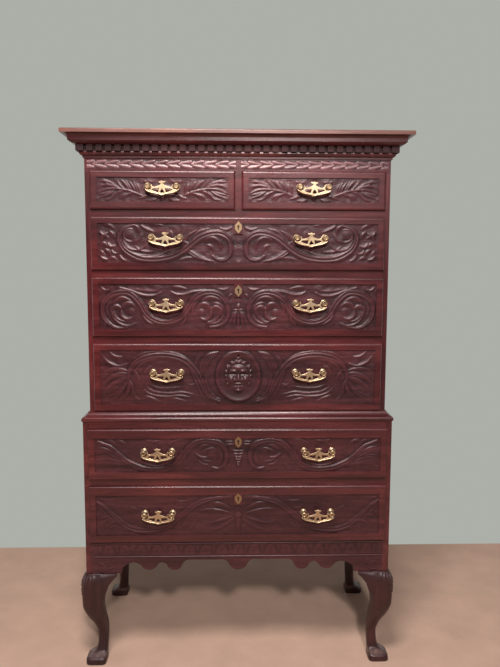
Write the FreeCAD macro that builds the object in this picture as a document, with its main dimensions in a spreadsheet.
"""A carved highboy: a chest of five drawers standing on a low stand with two drawers and cabriole legs.

Millimetres. The front faces -Y, +Z is up, and the origin is on the floor under the middle of the whole.
"""
import FreeCAD, Part
import math
import os
import Sketcher
from types import SimpleNamespace

SIZES = {
    # Heights of the visible front, from the floor up
    "leg_height": 316,
    "apron_height": 107,
    "stand_low_drawer_height": 189,
    "stand_high_drawer_height": 166,
    "stand_top_face": 23,
    "waist_height": 30,
    "waist_reveal": 1,
    "chest_low_drawer_height": 219,
    "chest_mid_drawer_height": 188,
    "chest_high_drawer_height": 166,
    "short_drawer_height": 119,
    "rail_face": 22,
    "frieze_height": 37,
    "cornice_height": 67,
    "top_thickness": 12,
    # Widths and depths of the two cases
    "chest_width": 952,
    "chest_depth": 480,
    "chest_setback": 20,
    "cornice_reach": 58,
    "top_reach": 60,
    "top_round": 4,
    "waist_nose": 4,
    "side_thickness": 20,
    "back_thickness": 10,
    "floor_thickness": 12,
    "rail_depth": 70,
    "divider_face": 20,
    "runner_width": 30,
    "runner_height": 24,
    # Frieze and dentils
    "frieze_thickness": 24,
    "band_height": 26,
    "band_sink": 3,
    "band_drop": 5,
    "band_margin": 8,
    "dentil_depth": 9,
    "dentil_web": 0.3,
    # Apron, legs and knee brackets
    "apron_thickness": 24,
    "leaf_height": 36,
    "leaf_sink": 3,
    "leaf_drop": 9,
    "bead_width": 6,
    "bead_proud": 3,
    "leg_square": 68,
    "tenon_width": 22,
    "tenon_length": 45,
    "tenon_inset": 45,
    "tenon_clear": 0.15,
    "block_size": 42,
    "block_height": 60,
    "bracket_reach": 98,
    "bracket_height": 72,
    "bracket_proud": 8,
    "bracket_thickness": 34,
    "side_arch_start": 3,
    "side_arch_rise": 34,
    # Drawers
    "lip_overlap": 5,
    "lip_thickness": 9,
    "lip_round": 6,
    "lip_gap": 0.3,
    "plug_depth": 15,
    "drawer_clear": 1.2,
    "runner_clear": 0.3,
    "head_clear": 2.5,
    "field_sink": 5,
    "field_side": 22,
    "chest_field_top": 21,
    "chest_field_bottom": 23,
    "stand_field_top": 30,
    "stand_field_bottom": 25,
    "box_side": 11,
    "box_back": 10,
    "box_bottom": 7,
    "box_room": 14,
    "groove_depth": 5,
    "groove_rise": 10,
    "tail_length": 10,
    "back_drop": 8,
    # Handles
    "short_handle_offset": 235,
    "chest_handle_offset": 227,
    "stand_handle_offset": 257,
    "short_handle_rise": 70,
    "chest_high_handle_rise": 102,
    "chest_mid_handle_rise": 107,
    "chest_low_handle_rise": 126,
    "stand_high_handle_rise": 93,
    "stand_low_handle_rise": 99,
    "handle_spacing": 89,
    "post_reach": 21,
    "rose_radius": 10,
    "rose_thickness": 3,
    "neck_radius": 4.6,
    "knob_radius": 8.5,
    "knob_length": 10,
    "shank_width": 5,
    "shank_clear": 0.2,
    "shank_end": 3,
    "nut_width": 12,
    "nut_thickness": 4,
    "pin_radius": 2.2,
    "pin_clear": 0.05,
    "pin_depth": 6,
    "knob_room": 0.6,
    "bail_thickness": 5,
    "bail_drop": 30,
    "bail_reach": 51,
    "crest_rise": 15.5,
    "crest_width": 21,
    # Locks
    "high_key_drop": 29,
    "key_drop": 39,
    "keyhole_radius": 3.2,
    "keyhole_length": 11,
    "plate_width": 22,
    "plate_height": 38,
    "plate_thickness": 1.6,
    "plate_margin": 2,
    "lock_width": 60,
    "lock_height": 54,
    "lock_thickness": 10,
    "lock_clear": 0.2,
    "bolt_width": 20,
    "bolt_thickness": 4,
    "bolt_height": 28,
    "bolt_clear": 0.2,
    "mortise_clear": 2,
    "mortise_depth": 11,
    "cut_overrun": 5,
}

# Mouldings: (reach, height) of each step as shares of the moulding, a pair of points where the step is an arc
cornice_shares = (
    (0.07, 0.0), (0.07, 0.09), ((0.18, 0.14), (0.21, 0.27)), (0.21, 0.58), ((0.52, 0.61), (0.70, 0.71)),
    (0.70, 0.86), ((0.78, 0.96), (0.96, 1.0)), (0.0, 1.0), (0.0, 0.0),
)
waist_shares = (
    (0.90, 0.0), ((1.0, 0.21), (0.90, 0.42)), (0.82, 0.46), ((0.42, 0.60), (0.16, 1.0)),
    (0.0, 1.0), (0.0, 0.0),
)
dentil_foot_share = 0.285
dentil_head_share = 0.565
dentil_gap_share = 0.34
DENTILS_FRONT = 35
DENTILS_SIDE = 18
BACK_BOARDS = 5

# Lower edge of the apron, from the middle outwards: shares of the half length and of the apron's height
apron_lobe_share = 0.09
apron_edge_shares = (
    ((0.085, 0.39), (0.12, 0.42)), (0.33, 0.42), ((0.366, 0.38), (0.386, 0.26)),
    ((0.438, 0.09), (0.491, 0.26)), ((0.526, 0.34), (0.555, 0.26)), ((0.611, 0.10), (0.668, 0.26)),
    ((0.72, 0.34), (0.77, 0.26)), ((0.795, 0.17), (0.803, 0.0)),
)
apron_centre_shares = (0.062, 0.26)
side_arch_shares = ((0.05, 0.70), (0.10, 1.0))
STIFF_LEAVES = 18
dart_width_share = 0.60
dart_rise_share = 0.84
rib_width_share = 0.08
rib_foot_share = 0.42

# Sections of a leg from the top down: height, middle from the case corner, half width and rounding
leg_section_shares = (
    (1.000, 0.410, 0.485, 0.18), (0.930, 0.345, 0.540, 0.24), (0.807, 0.300, 0.537, 0.34),
    (0.735, 0.285, 0.525, 0.42), (0.637, 0.275, 0.488, 0.50), (0.526, 0.385, 0.430, 0.58),
    (0.408, 0.560, 0.332, 0.66), (0.300, 0.640, 0.258, 0.70), (0.216, 0.630, 0.248, 0.70),
    (0.163, 0.545, 0.310, 0.60), (0.116, 0.430, 0.405, 0.44), (0.076, 0.362, 0.478, 0.34),
    (0.028, 0.350, 0.490, 0.32), (0.000, 0.350, 0.440, 0.32),
)
corner_turn_share = 0.707
bracket_edge_shares = ((1.0, 0.07), ((0.72, 0.20), (0.57, 0.50)), ((0.50, 0.78), (0.43, 0.92)), (0.40, 1.0))

# Bail outline from the point of the drop outwards, as shares of its reach and drop, and its crest
bail_edge_shares = ((0.22, -0.90), (0.50, -0.80), (0.80, -0.66), (1.0, -0.40))
bail_ear_shares = (0.62, 0.13)
bail_back_shares = ((0.52, -0.26), (0.40, -0.28), (0.20, -0.16), (0.08, 0.06))
crest_shares = ((0.30, 0.42), (1.0, 0.56), (1.0, 0.94))
bail_hole_shares = ((0.16, -0.28), (0.40, -0.48), (0.18, -0.64))
bail_middle_shares = ((0.0, -0.20), (0.09, -0.66))
knob_hug_shares = ((0.55, -1.05), (-0.80, -1.0), (-1.12, -0.1), (-1.06, 0.35))
BAR_SIDES = 8
HALF_TURN = 180
keyhole_shares = ((0.5, -0.866), (1.0, -0.4), (1.0, 0.4), (0.4, 1.0))
plate_waist_shares = (0.5, 0.16)
tail_base_share = 0.28
tail_tip_share = 0.38

doc = FreeCAD.newDocument("highboy")


class Size:
    """A length known both as a number and as the expression that ties it to the sheet."""

    def __init__(self, text, number):
        self.text = text
        self.number = number

    def _with(self, sign, other, number):
        return Size(f"({self.text} {sign} {other.text})", number)

    def __add__(self, other):
        other = size(other)
        return self._with("+", other, self.number + other.number)

    def __sub__(self, other):
        other = size(other)
        return self._with("-", other, self.number - other.number)

    def __mul__(self, factor):
        return self._with("*", size(factor), self.number * factor)

    def __truediv__(self, factor):
        return self._with("/", size(factor), self.number / factor)

    def __neg__(self):
        return self * -1


def size(value):
    """A plain number, such as zero or a share, as a Size."""
    return value if isinstance(value, Size) else Size(f"({value})", value)


def diagonal(one, other):
    """The length across two sides that meet at a right angle."""
    return Size(f"hypot({one.text}; {other.text})", math.hypot(one.number, other.number))


def fill_sheet():
    """Puts the driving sizes into the sheet and returns them by name."""
    sheet = doc.addObject("Spreadsheet::Sheet", "sizes")
    for row, (alias, value) in enumerate(SIZES.items(), start=1):
        sheet.set(f"A{row}", alias)
        sheet.set(f"B{row}", str(value))
        sheet.setAlias(f"B{row}", alias)
    doc.recompute()
    return SimpleNamespace(**{alias: Size(f"sizes.{alias}", float(sheet.get(alias))) for alias in SIZES})


p = fill_sheet()
nodes = {}


def keep(label, thing):
    """Marks a finished sub-part for export under its label."""
    thing.Label = label
    nodes[label] = thing
    return thing


def place(thing, x, y, z):
    for axis, where in zip("xyz", (x, y, z)):
        thing.setExpression(f"Placement.Base.{axis}", size(where).text)
    return thing


def board(name, length, width, height, x, y, z):
    """A plain board with its low corner at x, y, z."""
    box = doc.addObject("Part::Box", name)
    for side, value in zip(("Length", "Width", "Height"), (length, width, height)):
        box.setExpression(side, value.text)
    return place(box, x, y, z)


def cut(name, base, *tools):
    """What is left of base without the tools."""
    made = doc.addObject("Part::Cut", name)
    made.Base = base
    made.Tool = tools[0] if len(tools) == 1 else group(f"{name}_tools", *tools)
    return made


def fuse(name, *pieces):
    made = doc.addObject("Part::MultiFuse", name)
    made.Shapes = list(pieces)
    return made


def group(name, *pieces):
    """Separate solids held together as one sub-part."""
    made = doc.addObject("Part::Compound", name)
    made.Links = list(pieces)
    return made


def copy_at(name, pattern, x, y, z):
    return place(group(name, pattern), x, y, z)


def mirrored(name, source, across, at=0):
    """A mirror image of source across the plane that lies at the given place on the X or Y axis."""
    made = doc.addObject("Part::Mirroring", name)
    made.Source = source
    made.Normal = FreeCAD.Vector(1, 0, 0) if across == "x" else FreeCAD.Vector(0, 1, 0)
    made.setExpression(f"Base.{across}", size(at).text)
    return made


def bar(name, shape, radius, length, x, y, z, along):
    """A round or eight-sided bar that starts at x, y, z and runs along the given direction."""
    made = doc.addObject(f"Part::{shape}", name)
    made.setExpression("Height", length.text)
    turn = FreeCAD.Rotation(FreeCAD.Vector(0, 0, 1), FreeCAD.Vector(*along))
    if shape == "Prism":
        made.Polygon = BAR_SIDES
        made.setExpression("Circumradius", radius.text)
        turn = turn * FreeCAD.Rotation(FreeCAD.Vector(0, 0, 1), HALF_TURN / BAR_SIDES)
    else:
        made.setExpression("Radius", radius.text)
    made.Placement.Rotation = turn
    return place(made, x, y, z)


def new_body(name, x=0, y=0, z=0):
    return place(doc.addObject("PartDesign::Body", name), x, y, z)


def new_sketch(body, plane, offset=0):
    """A sketch on one of the body's own planes, moved along that plane's normal."""
    made = body.newObject("Sketcher::SketchObject", f"{body.Name}_sketch")
    support = next(item for item in body.Origin.OriginFeatures if item.Role == f"{plane}_Plane")
    made.AttachmentSupport = (support, [""])
    made.MapMode = "FlatFace"
    made.setExpression("AttachmentOffset.Base.z", size(offset).text)
    return made


def vector(point):
    return FreeCAD.Vector(size(point[0]).number, size(point[1]).number, 0)


def pin_point(sketch, geometry, end, point):
    """Ties a point of the sketch to its two named places."""
    for kind, value in zip(("DistanceX", "DistanceY"), point):
        row = sketch.addConstraint(Sketcher.Constraint(kind, -1, 1, geometry, end, size(value).number))
        sketch.setExpression(f"Constraints[{row}]", size(value).text)


def draw_outline(sketch, steps):
    """A closed outline. A step is the point reached by a line, or the two points that an arc goes through."""
    is_arc = [isinstance(step[0], tuple) for step in steps]
    ends = [step[1] if arc else step for step, arc in zip(steps, is_arc)]
    drawn = []
    for index, step in enumerate(steps):
        start, end = vector(ends[index - 1]), vector(ends[index])
        if is_arc[index]:
            edge = sketch.addGeometry(Part.Arc(start, vector(step[0]), end))
            near, far = (sketch.getPoint(edge, n).distanceToPoint(start) for n in (1, 2))
            drawn.append((edge, 1, 2) if near < far else (edge, 2, 1))
        else:
            drawn.append((sketch.addGeometry(Part.LineSegment(start, end)), 1, 2))
    for index, (edge, _, last) in enumerate(drawn):
        after, first, _ = drawn[(index + 1) % len(drawn)]
        sketch.addConstraint(Sketcher.Constraint("Coincident", edge, last, after, first))
        pin_point(sketch, edge, last, ends[index])
        if is_arc[index]:
            middle = sketch.addGeometry(Part.Point(vector(steps[index][0])), True)
            sketch.addConstraint(Sketcher.Constraint("PointOnObject", middle, 1, edge))
            pin_point(sketch, middle, 1, steps[index][0])


def draw_rectangle(sketch, left, right, low, high):
    draw_outline(sketch, ((left, low), (right, low), (right, high), (left, high)))


def pad(body, sketch, length, middle=False):
    made = body.newObject("PartDesign::Pad", f"{body.Name}_pad")
    made.Profile = sketch
    made.setExpression("Length", length.text)
    made.Midplane = middle
    sketch.Visibility = False
    return made


def pocket(body, sketch, depth=None, reverse=False):
    """Cuts the sketch into the body, right through where no depth is given."""
    made = body.newObject("PartDesign::Pocket", f"{body.Name}_pocket")
    made.Profile = sketch
    made.Reversed = reverse
    if depth is None:
        made.Type = "ThroughAll"
    else:
        made.setExpression("Length", depth.text)
    return made


def repeat(body, feature, sketch, count, length):
    """Repeats a feature along the sketch's own horizontal axis over the given length."""
    made = body.newObject("PartDesign::LinearPattern", f"{body.Name}_pattern")
    made.Originals = [feature]
    made.Direction = (sketch, ["H_Axis"])
    made.Occurrences = count
    made.setExpression("Length", length.text)
    body.Tip = made
    return made


def round_edges(body, radius, chosen):
    """Rounds the edges of the body's last feature that the chosen test picks."""
    doc.recompute()
    last = body.Tip
    names = [f"Edge{n}" for n, edge in enumerate(last.Shape.Edges, start=1) if chosen(edge)]
    made = body.newObject("PartDesign::Fillet", f"{body.Name}_fillet")
    made.Base = (last, names)
    made.setExpression("Radius", radius.text)
    return made


def scaled_steps(shares, across, up):
    """Turns a table of shares into outline steps by two functions that place a share."""
    steps = []
    for share in shares:
        if isinstance(share[0], tuple):
            steps.append(tuple((across(u), up(v)) for u, v in share))
        else:
            steps.append((across(share[0]), up(share[1])))
    return steps


# Planes and levels that several pieces share
knee_share = max(half - middle for _, middle, half, _ in leg_section_shares)
knee_reach = p.leg_square * knee_share
chest_half = p.chest_width / 2
stand_half = chest_half + p.chest_setback
chest_front = (p.top_reach - p.chest_depth - knee_reach) / 2
back = chest_front + p.chest_depth
stand_front = chest_front - p.chest_setback
stand_depth = p.chest_depth + p.chest_setback
stand_middle = stand_front + stand_depth / 2
chest_inner = chest_half - p.side_thickness
stand_inner = stand_half - p.side_thickness

stand_low_z = p.leg_height + p.apron_height
stand_high_z = stand_low_z + p.stand_low_drawer_height + p.rail_face
stand_top_z = stand_high_z + p.stand_high_drawer_height + p.stand_top_face
chest_low_z = stand_top_z + p.waist_height + p.waist_reveal
chest_mid_z = chest_low_z + p.chest_low_drawer_height + p.rail_face
chest_high_z = chest_mid_z + p.chest_mid_drawer_height + p.rail_face
short_z = chest_high_z + p.chest_high_drawer_height + p.rail_face
frieze_z = short_z + p.short_drawer_height
cornice_z = frieze_z + p.frieze_height
top_z = cornice_z + p.cornice_height

rail_height = p.rail_face + p.lip_overlap * 2
divider_width = p.divider_face + p.lip_overlap * 2
bolt_plane = p.plug_depth - p.lock_thickness / 2


class Drawer:
    """Where one drawer goes: its name, opening, handles and keyhole."""

    def __init__(self, name, case, lip_z, height, handle_rise, handles, key_drop=None, plate=True, tails=4):
        self.name = name
        self.case = case
        self.is_short = key_drop is None
        self.face = chest_front if case == "chest" else stand_front
        self.depth = p.chest_depth if case == "chest" else stand_depth
        inner = chest_inner if case == "chest" else stand_inner
        self.half = (inner - divider_width / 2) / 2 if self.is_short else inner
        self.x = size(0)
        self.low = lip_z + p.lip_overlap
        self.height = height - p.lip_overlap * 2
        self.handle_z = handle_rise - p.lip_overlap
        self.handles = handles
        self.key_z = None if self.is_short else height - p.lip_overlap - key_drop
        self.plate = plate
        self.tails = tails
        self.box_end = self.depth - p.back_thickness - p.box_room


def long_drawer(name, lip_z, height, handle_rise, key_drop, plate=True, tails=4):
    case = name.split("_")[0]
    offset = p.chest_handle_offset if case == "chest" else p.stand_handle_offset
    handles = {"left": -offset, "right": offset}
    return Drawer(name, case, lip_z, height, handle_rise, handles, key_drop, plate, tails)


def short_drawer(side):
    made = Drawer(f"short_{side}", "chest", short_z, p.short_drawer_height, p.short_handle_rise, {}, tails=3)
    sign = -1 if side == "left" else 1
    made.x = (divider_width / 2 + made.half) * sign
    made.handles = {"": p.short_handle_offset * sign - made.x}
    return made


DRAWERS = (
    short_drawer("left"),
    short_drawer("right"),
    long_drawer("chest_high", chest_high_z, p.chest_high_drawer_height, p.chest_high_handle_rise,
                p.high_key_drop),
    long_drawer("chest_mid", chest_mid_z, p.chest_mid_drawer_height, p.chest_mid_handle_rise, p.key_drop),
    long_drawer("chest_low", chest_low_z, p.chest_low_drawer_height, p.chest_low_handle_rise, p.key_drop,
                plate=False, tails=5),
    long_drawer("stand_high", stand_high_z, p.stand_high_drawer_height, p.stand_high_handle_rise, p.key_drop),
    long_drawer("stand_low", stand_low_z, p.stand_low_drawer_height, p.stand_low_handle_rise, p.key_drop),
)


# Mouldings
def mitred_moulding(name, shares, reach, height, half, front, low):
    """A moulding on the front and both sides of a case, in three pieces mitred at the corners."""
    total = reach + p.cut_overrun
    steps = scaled_steps(shares, lambda share: front - reach * share, lambda share: low + height * share)
    front_piece = new_body(f"{name}_front")
    profile = new_sketch(front_piece, "YZ")
    draw_outline(profile, steps)
    pad(front_piece, profile, (half + total) * 2, middle=True)
    waste = new_sketch(front_piece, "XY")
    for sign in (-1, 1):
        corner, tip = half * sign, (half + total) * sign
        draw_outline(waste, ((corner, front), (tip, front - total), (tip, front)))
    pocket(front_piece, waste, reverse=True)
    steps = scaled_steps(shares, lambda share: half + reach * share, lambda share: low + height * share)
    side_piece = new_body(f"{name}_side")
    profile = new_sketch(side_piece, "XZ", -back)
    draw_outline(profile, steps)
    pad(side_piece, profile, back - front + total)
    waste = new_sketch(side_piece, "XY")
    draw_outline(waste, ((half, front), (half + total, front - total), (half, front - total)))
    pocket(side_piece, waste, reverse=True)
    return front_piece, side_piece, mirrored(f"{name}_other_side", side_piece, "x")


def build_mouldings():
    keep("cornice_moulding", group("cornice", *mitred_moulding(
        "cornice", cornice_shares, p.cornice_reach, p.cornice_height, chest_half, chest_front, cornice_z)))
    keep("waist_moulding", group("waist", *mitred_moulding(
        "waist", waist_shares, p.chest_setback + p.waist_nose, p.waist_height,
        chest_half, chest_front, stand_top_z)))
    top = new_body("top")
    plan = new_sketch(top, "XY", top_z)
    half = chest_half + p.top_reach
    draw_rectangle(plan, -half, half, chest_front - p.top_reach, back)
    pad(top, plan, p.top_thickness)
    upper = (top_z + p.top_thickness).number
    rear = back.number

    def exposed(edge):
        box, near = edge.BoundBox, p.top_round.number
        return box.ZMin > upper - near and box.YMin < rear - near
    round_edges(top, p.top_round, exposed)
    keep("top_board", top)


def build_dentils():
    """Strips of square teeth under the cornice, on the front and the sides."""
    ledge = p.cornice_reach * cornice_shares[3][0]
    reach = ledge + p.dentil_depth
    low = cornice_z + p.cornice_height * dentil_foot_share
    high = cornice_z + p.cornice_height * dentil_head_share

    front = new_body("dentils_front")
    strip = new_sketch(front, "XZ", -(chest_front - ledge))
    half = chest_half + reach
    draw_rectangle(strip, -half, half, low, high)
    pad(front, strip, p.dentil_depth)
    pitch = (half * 2) / DENTILS_FRONT
    gap = new_sketch(front, "XZ", -(chest_front - reach))
    first = -half + pitch * (1 - dentil_gap_share / 2)
    draw_rectangle(gap, first, first + pitch * dentil_gap_share, low - p.cut_overrun, high + p.cut_overrun)
    notch = pocket(front, gap, p.dentil_depth - p.dentil_web)
    repeat(front, notch, gap, DENTILS_FRONT - 1, pitch * (DENTILS_FRONT - 2))

    side = new_body("dentils_side")
    strip = new_sketch(side, "YZ", chest_half + ledge)
    start = chest_front - ledge
    draw_rectangle(strip, start, back, low, high)
    pad(side, strip, p.dentil_depth)
    pitch = (back - start) / DENTILS_SIDE
    gap = new_sketch(side, "YZ", chest_half + reach)
    first = start + pitch * (1 - dentil_gap_share / 2)
    draw_rectangle(gap, first, first + pitch * dentil_gap_share, low - p.cut_overrun, high + p.cut_overrun)
    notch = pocket(side, gap, p.dentil_depth - p.dentil_web)
    repeat(side, notch, gap, DENTILS_SIDE - 1, pitch * (DENTILS_SIDE - 2))
    keep("dentil_course", group("dentils", front, side, mirrored("dentils_other_side", side, "x")))


# Chest case
def build_chest_case():
    low = frieze_z - p.lip_overlap
    rail = board("frieze_board", p.chest_width, p.frieze_thickness, top_z - low,
                 -chest_half, chest_front, low)
    band_low = cornice_z - p.band_drop - p.band_height
    band_length = chest_half - p.band_margin * 2
    bands = [board(f"band_{n}", band_length, p.band_sink + p.cut_overrun, p.band_height,
                   x, chest_front - p.cut_overrun, band_low)
             for n, x in enumerate((p.band_margin - chest_half, p.band_margin))]
    keep("frieze_rail", cut("frieze", rail, *bands))

    side = board("chest_board", p.side_thickness, p.chest_depth, top_z - stand_top_z,
                 -chest_half, chest_front, stand_top_z)
    notch = board("frieze_notch", p.side_thickness + p.cut_overrun * 2, p.frieze_thickness + p.cut_overrun,
                  top_z - low + p.cut_overrun, -chest_half - p.cut_overrun, chest_front - p.cut_overrun, low)
    left = keep("chest_side_left", cut("chest_left", side, notch))
    keep("chest_side_right", mirrored("chest_right", left, "x"))
    keep("chest_back", back_boards("chest_board_row", chest_inner, stand_top_z, top_z))

    behind = chest_front + p.rail_depth
    keep("chest_floor", board("floor", chest_inner * 2, back - p.back_thickness - behind, p.floor_thickness,
                              -chest_inner, behind, stand_top_z))


def back_boards(name, half, low, high):
    """Upright boards that close the back of a case, edge to edge."""
    width = half * 2 / BACK_BOARDS
    row = [board(f"{name}_{n}", width, p.back_thickness, high - low,
                 width * n - half, back - p.back_thickness, low)
           for n in range(BACK_BOARDS)]
    return group(name, *row)


def rail(name, half, front, low, height):
    return board(f"{name}_bar", half * 2, p.rail_depth, height, -half, front, low)


def bolt_rail(name, half, front, low, height):
    """A rail with a mortise for the lock bolt of the drawer below it."""
    bar = rail(name, half, front, low, height)
    width = p.bolt_width + p.mortise_clear * 2
    depth = p.bolt_thickness + p.mortise_clear * 2
    mortise = board(f"{name}_mortise", width, depth, p.mortise_depth + p.cut_overrun,
                    -width / 2, front + bolt_plane - depth / 2, low - p.cut_overrun)
    return cut(name, bar, mortise)


def build_dividers():
    over = p.lip_overlap
    foot = rail("chest_foot_rail", chest_inner, chest_front, stand_top_z, chest_low_z + over - stand_top_z)
    above = {"chest_low": chest_mid_z, "chest_mid": chest_high_z, "chest_high": short_z}
    rails = [bolt_rail(f"{name}_rail", chest_inner, chest_front, z - p.rail_face - over, rail_height)
             for name, z in above.items()]
    upright = board("chest_upright", divider_width, p.rail_depth, p.short_drawer_height - over * 2,
                    -divider_width / 2, chest_front, short_z + over)
    keep("chest_dividers", group("chest_rails", foot, *rails, upright))

    middle = bolt_rail("stand_low_rail", stand_inner, stand_front,
                       stand_high_z - p.rail_face - over, rail_height)
    top = bolt_rail("stand_high_rail", stand_inner, stand_front, stand_top_z - p.stand_top_face - over,
                    p.stand_top_face + over)
    keep("stand_rails", group("stand_rail_pair", middle, top))


def build_runners():
    """Strips on the case sides that carry the drawers, and a wide one with a guide for the short drawers."""
    strips = []
    for drawer in DRAWERS:
        if drawer.name == "short_right":
            continue
        inner = chest_inner if drawer.case == "chest" else stand_inner
        is_floor = drawer.name == "chest_low"
        is_apron = drawer.name == "stand_low"
        height = drawer.low - stand_top_z - p.floor_thickness if is_floor else p.runner_height
        start = drawer.face + (p.apron_thickness if is_apron else p.rail_depth)
        length = back - p.back_thickness - start
        strip = board(f"{drawer.name}_runner", p.runner_width, length, height,
                      -inner, start, drawer.low - height)
        strips += [strip, mirrored(f"{drawer.name}_other_runner", strip, "x")]
        if drawer.is_short:
            wide = divider_width + p.runner_width * 2
            strips.append(board("middle_runner", wide, length, height, -wide / 2, start, drawer.low - height))
            strips.append(board("middle_guide", divider_width, length, p.runner_height,
                                -divider_width / 2, start, drawer.low))
    keep("drawer_runners", group("runners", *strips))


# Stand
def build_stand_case():
    side = new_body("stand_board")
    outline = new_sketch(side, "YZ", -stand_half)
    flat = p.bracket_reach + p.side_arch_start
    clear = stand_depth - flat * 2
    arch = [(flat + clear * u, p.leg_height + p.side_arch_rise * v) for u, v in side_arch_shares]
    rise = [(stand_front + y, z) for y, z in arch]
    fall = [(back - y, z) for y, z in arch]
    draw_outline(outline, (
        (stand_front, p.leg_height), (stand_front + flat, p.leg_height), (rise[0], rise[1]), fall[1],
        (fall[0], (back - flat, p.leg_height)), (back, p.leg_height), (back, stand_top_z),
        (stand_front, stand_top_z)))
    pad(side, outline, p.side_thickness)
    keep("stand_side_left", side)
    keep("stand_side_right", mirrored("stand_right", side, "x"))
    back_foot = p.leg_height + p.side_arch_rise
    keep("stand_back", back_boards("stand_board_row", stand_inner, back_foot, stand_top_z))

    block_x = -stand_inner
    front_y = stand_front + p.apron_thickness
    front_block = board("front_block", p.block_size, p.block_size, p.block_height,
                        block_x, front_y, p.leg_height)
    rear_depth = p.block_size + p.apron_thickness - p.back_thickness
    rear_block = board("rear_block", p.block_size, rear_depth, p.block_height,
                       block_x, back - p.back_thickness - rear_depth, p.leg_height)
    holes = [tenon(f"tenon_hole_{n}", p.tenon_width + p.tenon_clear * 2, y)
             for n, y in enumerate((stand_front + p.tenon_inset, back - p.tenon_inset))]
    left = group("left_blocks", *(cut(f"bored_{block.Name}", block, hole)
                                  for block, hole in zip((front_block, rear_block), holes)))
    keep("corner_blocks", group("blocks", left, mirrored("right_blocks", left, "x")))


def tenon(name, width, y):
    """The square tenon on top of a left leg, or the mortise that takes it."""
    x = p.tenon_inset - stand_half
    return board(name, width, width, p.tenon_length, x - width / 2, y - width / 2, p.leg_height)


def build_apron():
    """The scalloped board under the drawers, with a row of scored stiff leaves between two beads."""
    top = stand_low_z + p.lip_overlap
    apron = new_body("apron_board")
    outline = new_sketch(apron, "XZ", -(stand_front + p.apron_thickness))

    def level(share):
        return p.leg_height + p.apron_height * share
    right = scaled_steps(apron_edge_shares, lambda share: stand_inner * share, level)
    left = []
    ends = [apron_centre_shares]
    ends += [share[1] if isinstance(share[0], tuple) else share for share in apron_edge_shares]
    for share, start in zip(reversed(apron_edge_shares), reversed(ends[:-1])):
        points = (share[0], start) if isinstance(share[0], tuple) else start
        left += scaled_steps((points,), lambda u: stand_inner * -u, level)
    centre_u, centre_v = apron_centre_shares
    lobe = ((size(0), level(apron_lobe_share)), (stand_inner * centre_u, level(centre_v)))
    draw_outline(outline, (
        *left, lobe, *right, (stand_inner, p.leg_height), (stand_inner, top), (-stand_inner, top),
        (-stand_inner, p.leg_height), (stand_inner * -ends[-1][0], p.leg_height)))
    pad(apron, outline, p.apron_thickness)

    pitch = stand_inner * 2 / STIFF_LEAVES
    low = stand_low_z - p.leaf_drop - p.leaf_height
    first = pitch / 2 - stand_inner
    darts = new_sketch(apron, "XZ", -stand_front)
    half = pitch * dart_width_share / 2
    tip = low + p.leaf_height * dart_rise_share
    draw_outline(darts, ((first - half, low), (first + half, low), (first, tip)))
    sunk = pocket(apron, darts, p.leaf_sink)
    repeat(apron, sunk, darts, STIFF_LEAVES, pitch * (STIFF_LEAVES - 1))
    ribs = new_sketch(apron, "XZ", -stand_front)
    half = pitch * rib_width_share / 2
    middle, foot = first + pitch / 2, low + p.leaf_height * rib_foot_share
    draw_rectangle(ribs, middle - half, middle + half, foot, low + p.leaf_height)
    scored = pocket(apron, ribs, p.leaf_sink)
    repeat(apron, scored, ribs, STIFF_LEAVES - 1, pitch * (STIFF_LEAVES - 2))

    beads = []
    for name, middle in (("low", low - p.bead_width), ("high", low + p.leaf_height + p.bead_width / 2)):
        bead = new_body(f"{name}_bead")
        profile = new_sketch(bead, "YZ")
        foot, head = (stand_front, middle - p.bead_width / 2), (stand_front, middle + p.bead_width / 2)
        draw_outline(profile, (foot, ((stand_front - p.bead_proud, middle), head)))
        pad(bead, profile, stand_inner * 2, middle=True)
        beads.append(bead)
    keep("front_apron", group("apron", apron, *beads))


# Legs
def leg_section(height, middle, half, rounding):
    """The corners of a level twelve-sided section of the left front leg, on the diagonal of the case corner."""
    breadth = p.leg_square * half
    radius = breadth * rounding
    flat = breadth - radius
    turn = flat + radius * corner_turn_share
    corner = ((breadth, flat), (turn, turn), (flat, breadth))
    x, y, z = p.leg_square * middle - stand_half, p.leg_square * middle + stand_front, p.leg_height * height
    points = []
    for sign_x, sign_y in ((1, 1), (-1, 1), (-1, -1), (1, -1)):
        run = corner if sign_x == sign_y else reversed(corner)
        points += [FreeCAD.Vector((x + u * sign_x).number, (y + v * sign_y).number, z.number) for u, v in run]
    return points


def flat_sided_loft(sections):
    """A solid through sections whose matching edges are parallel, so that flat faces join them."""
    def face(*corners):
        return Part.Face(Part.makePolygon([*corners, corners[0]]))
    faces = [face(*sections[0]), face(*sections[-1])]
    for upper, lower in zip(sections, sections[1:]):
        for n in range(len(upper)):
            faces.append(face(upper[n - 1], upper[n], lower[n], lower[n - 1]))
    return Part.Solid(Part.Shell(faces))


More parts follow.
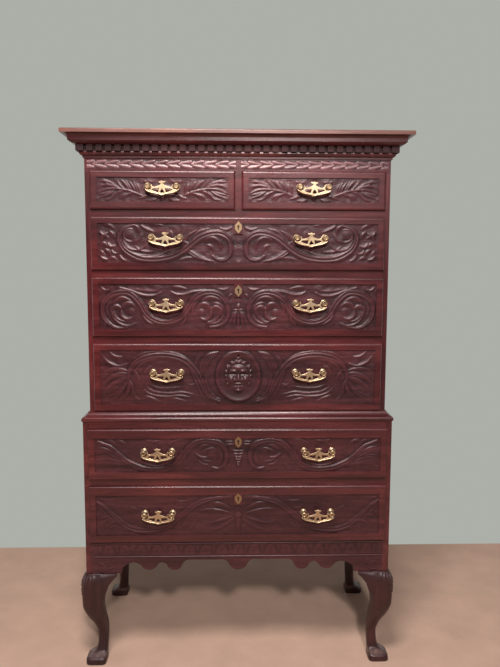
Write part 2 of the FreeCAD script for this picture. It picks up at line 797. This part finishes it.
def build_legs():
    shaft = doc.addObject("Part::Feature", "leg_shaft")
    shaft.Shape = flat_sided_loft([leg_section(*shares) for shares in leg_section_shares])
    leg_tenon = tenon("leg_tenon", p.tenon_width, stand_front + p.tenon_inset)
    leg = keep("front_leg_left", fuse("leg", shaft, leg_tenon))
    right = keep("front_leg_right", mirrored("front_right", leg, "x"))
    keep("rear_leg_left", mirrored("rear_left", leg, "y", stand_middle))
    keep("rear_leg_right", mirrored("rear_right", right, "y", stand_middle))

    bracket = new_body("bracket_blank")
    outline = new_sketch(bracket, "XZ", -(stand_front - p.bracket_proud + p.bracket_thickness))
    start = p.leg_square / 2
    reach = p.bracket_reach - start
    edge = scaled_steps(bracket_edge_shares, lambda share: start + reach * share - stand_half,
                        lambda share: p.leg_height - p.bracket_height * share)
    inside = start - stand_half
    draw_outline(outline, (
        (inside, p.leg_height), (p.bracket_reach - stand_half, p.leg_height), *edge, (inside, edge[-1][1])))
    pad(bracket, outline, p.bracket_thickness)
    front_bracket = cut("front_bracket", bracket, leg)
    side_bracket = doc.addObject("Part::Mirroring", "side_bracket")
    side_bracket.Source = front_bracket
    side_bracket.Normal = FreeCAD.Vector(1, -1, 0)
    side_bracket.setExpression("Base.x", (-stand_half).text)
    side_bracket.setExpression("Base.y", stand_front.text)
    front_left = group("front_left_brackets", front_bracket, side_bracket)
    front = group("front_brackets", front_left, mirrored("front_right_brackets", front_left, "x"))
    keep("knee_brackets", group("brackets", front, mirrored("rear_brackets", front, "y", stand_middle)))


# Handle and lock patterns, made once and copied
def build_post():
    """A cast post of eight sides, its knob bored on the +X side for the bail's pin, with a shank and nut."""
    knob_start = p.post_reach - p.knob_length / 2
    steps = (
        ("rose", p.rose_radius, size(0), p.rose_thickness),
        ("neck", p.neck_radius, p.rose_thickness, knob_start - p.rose_thickness),
        ("knob", p.knob_radius, knob_start, p.knob_length),
    )
    parts = [bar(f"post_{name}", "Prism", radius, length, 0, -start, 0, (0, -1, 0))
             for name, radius, start, length in steps]
    bore = bar("post_bore", "Cylinder", p.pin_radius + p.pin_clear, p.knob_radius * 2,
               p.knob_radius - p.pin_depth, -p.post_reach, 0, (1, 0, 0))
    nut_seat = p.plug_depth + p.lip_gap + p.lip_thickness - p.field_sink
    length = nut_seat + p.nut_thickness + p.shank_end
    shank = square_bar("shank", p.shank_width, length, 0)
    left = cut("post_left", fuse("post_blank", *parts, shank), bore)
    nut = square_bar("nut_blank", p.nut_width, p.nut_thickness, nut_seat)
    hole = square_bar("nut_hole", p.shank_width + p.pin_clear * 2, p.nut_thickness, nut_seat)
    pair = group("post_and_nut_left", left, cut("nut", nut, hole))
    return {"left": pair, "right": mirrored("post_and_nut_right", pair, "x")}


def square_bar(name, width, length, start):
    """A square bar along +Y, centred on the Y axis."""
    return board(name, width, length, width, width / -2, start, width / -2)


def build_bail():
    """The pierced drop, hung from pins that turn in the knobs. Its origin is the middle of the pin axis."""
    half = p.handle_spacing / 2
    hug = diagonal(p.knob_radius, p.knob_length / 2) + p.knob_room
    bail = new_body("bail_plate")
    outline = new_sketch(bail, "XZ", -(p.bail_thickness / 2))

    def across(share):
        return p.bail_reach * share

    def up(share):
        return p.bail_drop * share

    def crest(share):
        return p.crest_width / 2 * share[0], p.crest_rise * share[1]
    lower = scaled_steps(bail_edge_shares, across, up)
    round_knob = [(half + hug * u, hug * v) for u, v in knob_hug_shares]
    ear = (across(bail_ear_shares[0]), up(bail_ear_shares[1]))
    back_edge = scaled_steps(bail_back_shares, across, up)
    crown = [crest(share) for share in crest_shares]
    right = [*lower, *round_knob, ear, *back_edge, *crown]
    draw_outline(outline, (*right, *flipped(right, (size(0), -p.bail_drop), ((size(0), p.crest_rise),))))
    for sign in (-1, 1):
        draw_outline(outline, [(across(u * sign), up(v)) for u, v in bail_hole_shares])
    top_hole, wide_hole = bail_middle_shares
    foot_x, foot_z = across(wide_hole[0]), up(wide_hole[1])
    draw_outline(outline, ((-foot_x, foot_z), (foot_x, foot_z), (size(0), up(top_hole[1]))))
    pad(bail, outline, p.bail_thickness)
    ear_x = across(bail_ear_shares[0])
    pin_end = half - p.knob_radius + p.pin_depth - p.knob_room
    pin = bar("bail_pin", "Prism", p.pin_radius, pin_end - ear_x, ear_x, 0, 0, (1, 0, 0))
    return fuse("bail", bail, pin, mirrored("bail_other_pin", pin, "x"))


def flipped(steps, start, between):
    """The steps that lead back along the mirror image of an open outline, after the steps in between."""
    def other(point):
        return -point[0], point[1]
    ends = [start] + [step[1] if isinstance(step[0], tuple) else step for step in steps]
    back_steps = [*between, other(ends[-1])]
    for step, begin in zip(reversed(steps), reversed(ends[:-1])):
        back_steps.append((other(step[0]), other(begin)) if isinstance(step[0], tuple) else other(begin))
    return back_steps


def draw_keyhole(sketch, z):
    head = [(p.keyhole_radius * u, z + p.keyhole_radius * v) for u, v in keyhole_shares]
    foot = (head[0][0], z - p.keyhole_length)
    right = (foot, *head)
    draw_outline(sketch, (*right, *((-x, up) for x, up in reversed(right))))


def build_plate():
    """A lozenge-shaped key plate, its keyhole at its own origin."""
    plate = new_body("plate_pattern")
    outline = new_sketch(plate, "XZ")
    tip = p.plate_height / 2
    side, rise = p.plate_width * plate_waist_shares[0], p.plate_height * plate_waist_shares[1]
    draw_outline(outline, (
        (size(0), -tip), (side, -rise), (side, rise), (size(0), tip), (-side, rise), (-side, -rise)))
    draw_keyhole(outline, p.keyhole_radius)
    pad(plate, outline, p.plate_thickness)
    return plate


# Drawers
def build_front(drawer, sockets):
    """The lipped front: a plug in the opening, a rounded lip over the rails and a field sunk for carving."""
    width, height = drawer.half, drawer.height
    over = p.lip_overlap
    face = p.lip_gap + p.lip_thickness
    body = new_body(f"{drawer.name}_front_board", drawer.x, drawer.face, drawer.low)
    lip = new_sketch(body, "XZ", p.lip_gap)
    draw_rectangle(lip, -width - over, width + over, -over, height + over)
    pad(body, lip, p.lip_thickness)
    front_y = (p.lip_gap - face).number
    round_edges(body, p.lip_round, lambda edge: edge.BoundBox.YMax < front_y)
    plug = new_sketch(body, "XZ", -p.plug_depth)
    plug_half = width - p.drawer_clear
    draw_rectangle(plug, -plug_half, plug_half, p.runner_clear, height - p.head_clear)
    pad(body, plug, p.plug_depth + p.lip_gap)

    field = new_sketch(body, "XZ", face)
    is_chest = drawer.case == "chest"
    side = width + over - p.field_side
    low = (p.chest_field_bottom if is_chest else p.stand_field_bottom) - over
    high = height + over - (p.chest_field_top if is_chest else p.stand_field_top)
    if drawer.is_short or not drawer.plate:
        draw_rectangle(field, -side, side, low, high)
    else:
        tab = p.plate_width / 2 + p.plate_margin
        tab_low = drawer.key_z - p.plate_height / 2 - p.plate_margin - p.keyhole_radius
        draw_outline(field, (
            (-side, low), (side, low), (side, high), (tab, high), (tab, tab_low), (-tab, tab_low),
            (-tab, high), (-side, high)))
    pocket(body, field, p.field_sink)

    holes = new_sketch(body, "XZ", face)
    for middle in drawer.handles.values():
        for sign in (-1, 1):
            x, half = middle + p.handle_spacing / 2 * sign, p.shank_width / 2 + p.shank_clear
            draw_rectangle(holes, x - half, x + half, drawer.handle_z - half, drawer.handle_z + half)
    if not drawer.is_short:
        draw_keyhole(holes, drawer.key_z)
    pocket(body, holes)
    if not drawer.is_short:
        recess = new_sketch(body, "XZ", -p.plug_depth)
        recess_low = height - p.head_clear - p.lock_height
        draw_rectangle(recess, p.lock_width / -2, p.lock_width / 2, recess_low, height)
        pocket(body, recess, p.lock_thickness, reverse=True)
    keep(f"{drawer.name}_drawer_front", cut(f"{drawer.name}_socketed_front", body, *sockets))


def build_box(drawer):
    """Dovetailed sides, back and bottom of a drawer. Returns the pieces that let into the front."""
    name, half, height = drawer.name, drawer.half - p.drawer_clear, drawer.height
    low, high = p.runner_clear, height - p.head_clear
    shoulder, tip = p.plug_depth, p.plug_depth - p.tail_length
    side = new_body(f"{name}_left_side", drawer.x, drawer.face, drawer.low)
    outline = new_sketch(side, "YZ", -half)
    steps = [(drawer.box_end, low), (shoulder, low)]
    pitch = (high - low) / drawer.tails
    for n in range(drawer.tails):
        middle = low + pitch * n + pitch / 2
        base, end = pitch * tail_base_share, pitch * tail_tip_share
        steps += [(shoulder, middle - base), (tip, middle - end)]
        steps += [(tip, middle + end), (shoulder, middle + base)]
    draw_outline(outline, (*steps, (shoulder, high), (drawer.box_end, high)))
    pad(side, outline, p.box_side)
    other = mirrored(f"{name}_right_side", side, "x", drawer.x)

    inner = half - p.box_side
    reach = inner + p.groove_depth
    start = p.plug_depth - p.groove_depth
    bottom_z = drawer.low + low + p.groove_rise
    bottom = board(f"{name}_bottom", reach * 2, drawer.box_end - start, p.box_bottom,
                   drawer.x - reach, drawer.face + start, bottom_z)
    back_z = bottom_z + p.box_bottom
    back_board = board(f"{name}_back", inner * 2, p.box_back, drawer.low + high - p.back_drop - back_z,
                       drawer.x - inner, drawer.face + drawer.box_end - p.box_back, back_z)
    sides = [cut(f"{name}_grooved_{end}", piece, bottom) for end, piece in (("left", side), ("right", other))]
    keep(f"{name}_drawer_box", group(f"{name}_box", *sides, back_board, bottom))
    return side, other, bottom


def build_fittings(drawer, posts, bail, plate):
    """Handles and lock of one drawer."""
    name = drawer.name
    seat = drawer.face - p.lip_gap - p.lip_thickness + p.field_sink
    pieces = []
    for end, middle in drawer.handles.items():
        x, z = drawer.x + middle, drawer.low + drawer.handle_z
        tail = f"_{end}" if end else ""
        for side, sign in (("left", -1), ("right", 1)):
            where = x + p.handle_spacing / 2 * sign
            pieces.append(copy_at(f"{name}{tail}_{side}_post", posts[side], where, seat, z))
        keep(f"{name}_bail{tail}", copy_at(f"{name}{tail}_bail_copy", bail, x, seat - p.post_reach, z))
    if not drawer.is_short:
        pieces += build_lock(drawer, plate)
    keep(f"{name}_drawer_fittings", group(f"{name}_fittings", *pieces))


def build_lock(drawer, plate):
    """Key plate and lock case of a long drawer; its bolt is a sub-part of its own."""
    name = drawer.name
    top = drawer.low + drawer.height - p.head_clear
    rear = drawer.face + p.plug_depth
    gap = p.lock_clear
    case = board(f"{name}_lock_block", p.lock_width - gap * 2, p.lock_thickness - gap, p.lock_height - gap,
                 p.lock_width / -2 + gap, rear - p.lock_thickness + gap, top - p.lock_height + gap)
    bolt_y = drawer.face + bolt_plane - p.bolt_thickness / 2
    bolt_z = top - p.bolt_height
    room = p.bolt_clear
    slot = board(f"{name}_bolt_slot", p.bolt_width + room * 2, p.bolt_thickness + room * 2,
                 p.bolt_height + p.cut_overrun, p.bolt_width / -2 - room, bolt_y - room, bolt_z - room)
    keep(f"{name}_lock_bolt", board(f"{name}_bolt", p.bolt_width, p.bolt_thickness, p.bolt_height,
                                    p.bolt_width / -2, bolt_y, bolt_z))
    pieces = [cut(f"{name}_lock_case", case, slot)]
    if drawer.plate:
        face = drawer.face - p.lip_gap - p.lip_thickness
        plate_z = drawer.low + drawer.key_z - p.keyhole_radius
        pieces.append(copy_at(f"{name}_plate", plate, drawer.x, face, plate_z))
    return pieces


def build_drawers():
    posts = build_post()
    bail = build_bail()
    plate = build_plate()
    for drawer in DRAWERS:
        build_front(drawer, build_box(drawer))
        build_fittings(drawer, posts, bail, plate)


def export():
    """Stops on anything that did not build, then writes each sub-part to its own file."""
    doc.recompute()
    failed = [item.Label for item in doc.Objects if {"Invalid", "Error"} & set(item.State)]
    failed += [label for label, item in nodes.items() if item.Shape.isNull() or not item.Shape.isValid()]
    if failed:
        raise SystemExit("not built: " + ", ".join(failed))
    os.makedirs("parts", exist_ok=True)
    for label, item in nodes.items():
        item.Shape.exportStep(f"parts/{label}.step")


build_mouldings()
build_dentils()
build_chest_case()
build_dividers()
build_runners()
build_stand_case()
build_apron()
build_legs()
build_drawers()
export()
